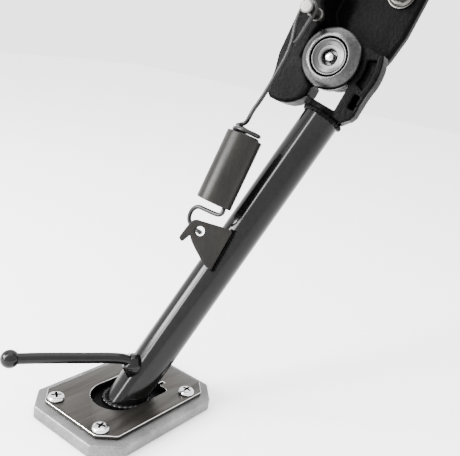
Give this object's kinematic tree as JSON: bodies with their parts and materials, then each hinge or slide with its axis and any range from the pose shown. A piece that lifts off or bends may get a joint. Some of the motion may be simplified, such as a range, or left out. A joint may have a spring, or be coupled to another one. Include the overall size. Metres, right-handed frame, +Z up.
{
  "type": "motorcycle side stand",
  "caption": "Folding motorcycle side stand with pivot bracket, sleeved return spring, kick lever and a bolt-on wide foot pad.",
  "frame": {"origin": "centre of the foot pad on the ground, with the stand down", "axes": "+Z up from the ground, +X along the pad towards the motorcycle, +Y the motorcycle's forward direction"},
  "size_m": [0.2577, 0.1521, 0.3572],
  "materials": {
    "cast_aluminium": "satin cast and machined",
    "brushed_stainless": "brushed",
    "bright_steel": "polished",
    "cast_black": "satin black over a cast surface",
    "gloss_black": "gloss black",
    "bronze": "turned",
    "dark_steel": "turned and blacked",
    "plated_steel": "zinc plated",
    "spring_wire": "satin black",
    "sleeve_black": "satin"
  },
  "bodies": {
    "bracket": {"pivot_bracket": "cast_black", "pivot_bush": "bronze", "thrust_washer_outer": "bronze", "thrust_washer_inner": "bronze", "pivot_bolt": "dark_steel", "bolt_plug": "bright_steel", "pivot_washer": "plated_steel", "pivot_nut": "plated_steel", "anchor_post": "plated_steel", "frame_bolt_1": "plated_steel", "frame_bolt_2": "plated_steel", "frame_washer_1": "plated_steel", "frame_washer_2": "plated_steel"},
    "leg": {"leg_head": "cast_black", "head_weld": "cast_black", "leg_tube": "gloss_black", "foot_weld": "gloss_black", "stand_foot": "cast_black", "pad_base": "cast_aluminium", "pad_top_plate": "brushed_stainless", "pad_screw_1": "bright_steel", "pad_screw_2": "bright_steel", "pad_screw_3": "bright_steel", "pad_screw_4": "bright_steel", "kick_lever_rod": "gloss_black", "kick_lever_ball": "gloss_black", "lever_weld": "gloss_black", "spring_hook_plate": "cast_black", "hook_plate_weld": "cast_black"},
    "spring_upper": {"spring_shank": "spring_wire", "spring_coil": "spring_wire", "spring_sleeve": "sleeve_black"},
    "spring_lower": {"spring_hook": "spring_wire"}
  },
  "joints": [
    {"name": "leg_swing", "type": "hinge", "parent": "bracket", "child": "leg", "pos_m": [0.1135, -0.0609, 0.2775], "axis": [-0.9783, -0.1132, 0.1736], "range_deg": [0, 100]},
    {"name": "spring_turn", "type": "hinge", "parent": "bracket", "child": "spring_upper", "pos_m": [0.09269, -0.04206, 0.31073], "axis": [-0.9783, -0.1132, 0.1736], "range_deg": [0, 83]},
    {"name": "hook_turn", "type": "hinge", "parent": "leg", "child": "spring_lower", "pos_m": [0.03392, -0.02045, 0.14345], "axis": [-0.9783, -0.1132, 0.1736], "range_deg": [-18.5, 0]}
  ],
  "couplings": [
    {"joint": "spring_turn", "follows": "leg_swing", "ratio": 0.8212},
    {"joint": "hook_turn", "follows": "leg_swing", "ratio": -0.1788}
  ]
}
